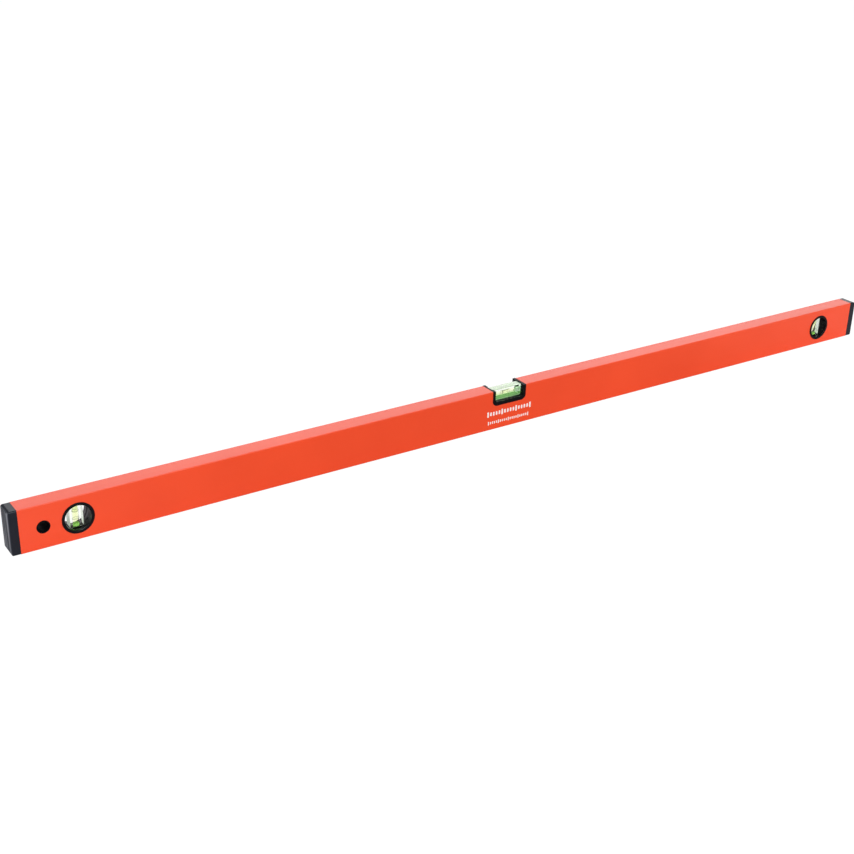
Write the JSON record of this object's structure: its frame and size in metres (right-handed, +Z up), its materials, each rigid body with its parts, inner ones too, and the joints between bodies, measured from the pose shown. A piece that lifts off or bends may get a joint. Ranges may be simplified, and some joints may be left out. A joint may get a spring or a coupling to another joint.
{
  "type": "spirit level",
  "caption": "Long box-section spirit level with a clear block vial in its top edge, round-windowed plumb vials near the ends, end caps and a hang hole.",
  "frame": {"origin": "middle of the bottom measuring face", "axes": "+X along the level towards the end without the hang hole, +Y through the level from the front face to the rear face, +Z up towards the edge that holds the centre vial"},
  "size_m": [1.2, 0.0232, 0.0486],
  "materials": {
    "powder_coat": "satin orange-red powder coat",
    "cap_plastic": "matte dark navy-grey",
    "frame_plastic": "glossy black",
    "clear_block": "polished clear acrylic",
    "vial_liquid": "yellow-green vial liquid",
    "bubble": "clear air bubble",
    "plug_plastic": "frosted clear acrylic",
    "gauge_black": "black"
  },
  "bodies": {
    "level": {"body_profile": "powder_coat", "left_end_cap": "cap_plastic", "right_end_cap": "cap_plastic", "hang_bush_front": "frame_plastic", "hang_bush_rear": "frame_plastic", "centre_housing_front": "frame_plastic", "centre_housing_rear": "frame_plastic", "centre_vial_block": "clear_block", "centre_vial_liquid": "vial_liquid", "centre_vial_plug": "plug_plastic", "centre_gauge_ring_left": "gauge_black", "centre_gauge_ring_right": "gauge_black", "left_bezel_front": "frame_plastic", "left_bezel_rear": "frame_plastic", "left_vial_block": "clear_block", "left_vial_liquid": "vial_liquid", "left_vial_plug": "plug_plastic", "left_gauge_ring_upper": "gauge_black", "left_gauge_ring_lower": "gauge_black", "right_bezel_front": "frame_plastic", "right_bezel_rear": "frame_plastic", "right_vial_block": "clear_block", "right_vial_liquid": "vial_liquid", "right_vial_plug": "plug_plastic", "right_gauge_ring_upper": "gauge_black", "right_gauge_ring_lower": "gauge_black"},
    "centre_bubble": {"centre_vial_bubble": "bubble"},
    "left_bubble": {"left_vial_bubble": "bubble"},
    "right_bubble": {"right_vial_bubble": "bubble"}
  },
  "joints": [
    {"name": "centre_bubble_drift", "type": "slide", "parent": "level", "child": "centre_bubble", "axis": [1, 0, 0], "range_m": [-0.0094, 0.0094], "stiffness_N_per_m": 2, "deforming": ["centre_vial_liquid"]},
    {"name": "left_bubble_drift", "type": "slide", "parent": "level", "child": "left_bubble", "axis": [0, 0, 1], "range_m": [-0.011, 0], "stiffness_N_per_m": 10, "deforming": ["left_vial_liquid"]},
    {"name": "right_bubble_drift", "type": "slide", "parent": "level", "child": "right_bubble", "axis": [0, 0, 1], "range_m": [-0.011, 0], "stiffness_N_per_m": 10, "deforming": ["right_vial_liquid"]}
  ]
}
